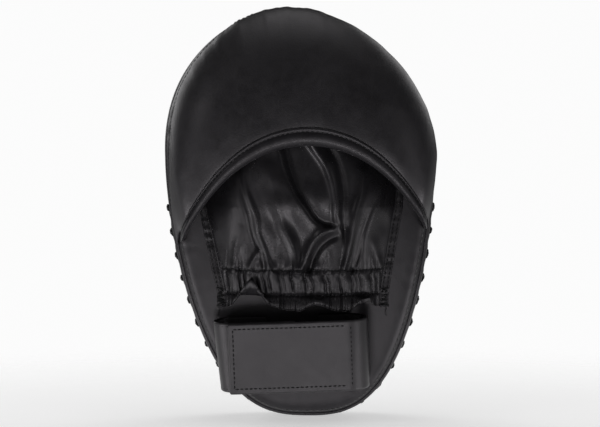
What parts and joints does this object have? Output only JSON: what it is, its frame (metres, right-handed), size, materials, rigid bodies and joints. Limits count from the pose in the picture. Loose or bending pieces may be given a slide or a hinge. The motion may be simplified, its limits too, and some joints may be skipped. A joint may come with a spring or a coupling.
{
  "type": "focus mitt",
  "caption": "Curved padded boxing focus mitt with striped striking face, finger hood, gathered hand cover, laced edge and hook-and-loop wrist strap.",
  "frame": {"origin": "below the middle of the mitt, level with its lowest point when it is held finger end up", "axes": "+Z towards the finger end, -Y out of the hand side, +Y out of the striking face, +X to the right seen from the hand side"},
  "size_m": [0.177, 0.0889, 0.2687],
  "materials": {
    "face_leather": "matte grained",
    "black_leather": "smooth satin",
    "print_gloss": "gloss ink film",
    "impact_foam": "closed-cell foam",
    "soft_foam": "open-cell foam",
    "board": "stiff sheet",
    "lining": "knitted mesh",
    "thread": "twisted polyester",
    "light_thread": "twisted polyester",
    "cord": "rolled lace",
    "elastic": "woven elastic",
    "tape": "hook and loop"
  },
  "bodies": {
    "mitt": {"face_panel": "face_leather", "face_print": "print_gloss", "front_gusset": "black_leather", "rear_gusset": "black_leather", "impact_foam": "impact_foam", "core_foam": "soft_foam", "backing_board": "board", "palm_foam": "soft_foam", "back_panel": "black_leather", "back_seam_thread": "light_thread", "closure_lace": "cord", "hood_side_strip": "black_leather", "hood_cover": "black_leather", "hood_foam": "soft_foam", "hood_lining": "lining", "hood_binding": "black_leather", "hood_binding_thread": "thread", "hand_cover": "black_leather", "cover_side_thread": "thread", "hem_elastic": "elastic", "hem_facing": "black_leather", "hem_thread": "thread", "strap_anchor": "black_leather", "band_anchor": "black_leather"},
    "flap": {"strap_flap": "black_leather", "hook_patch": "tape", "strap_flap_thread": "thread"},
    "band": {"strap_band": "black_leather", "loop_patch": "tape", "strap_band_thread": "thread"}
  },
  "joints": [
    {"name": "strap_flap_open", "type": "hinge", "parent": "mitt", "child": "flap", "pos_m": [0.02998, -0.01249, 0.04514], "axis": [-0.0349, -0.106, 0.9938], "range_deg": [0, 140]},
    {"name": "strap_band_open", "type": "hinge", "parent": "mitt", "child": "band", "pos_m": [-0.04337, -0.01013, 0.04281], "axis": [0.0349, 0.106, -0.9938], "range_deg": [0, 56]}
  ],
  "couplings": [
    {"joint": "strap_band_open", "follows": "strap_flap_open", "ratio": 0.4}
  ]
}
